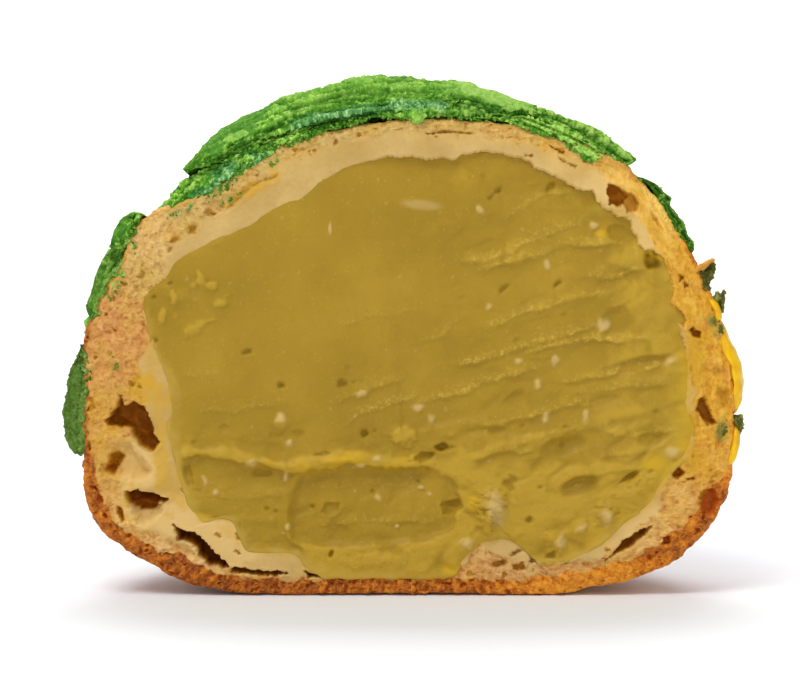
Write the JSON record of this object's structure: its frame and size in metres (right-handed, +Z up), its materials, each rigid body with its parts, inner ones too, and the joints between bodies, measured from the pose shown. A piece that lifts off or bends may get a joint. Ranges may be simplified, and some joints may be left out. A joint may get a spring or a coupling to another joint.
{
  "type": "cream puff",
  "caption": "Half of a round choux bun cut through its middle, filled with pistachio cream, with a cracked green craquelin crust.",
  "frame": {"origin": "centre of the bounding box of the half bun, at the height of its flat base", "axes": "+X to the right along the cut face, +Y from the cut face into the half bun, +Z up; the cut face looks along -Y"},
  "size_m": [0.0846, 0.0418, 0.0647],
  "materials": {
    "choux": "baked choux pastry: browned rough crust, pale soft inside",
    "cream": "cut pistachio cream: satin, dense, olive gold",
    "craquelin": "baked green craquelin: crumbly, matt"
  },
  "bodies": {
    "root": {"choux_shell": "choux", "pistachio_cream": "cream", "craquelin_01": "craquelin", "craquelin_02": "craquelin", "craquelin_03": "craquelin", "craquelin_04": "craquelin", "craquelin_05": "craquelin", "craquelin_06": "craquelin", "craquelin_07": "craquelin", "craquelin_08": "craquelin", "craquelin_09": "craquelin", "craquelin_10": "craquelin", "craquelin_11": "craquelin", "craquelin_12": "craquelin", "craquelin_13": "craquelin", "craquelin_14": "craquelin", "craquelin_15": "craquelin", "craquelin_16": "craquelin", "craquelin_17": "craquelin", "craquelin_18": "craquelin", "craquelin_upper": "craquelin", "craquelin_chip_shoulder": "craquelin", "craquelin_chip_side": "craquelin", "craquelin_chip_low": "craquelin"}
  },
  "joints": []
}
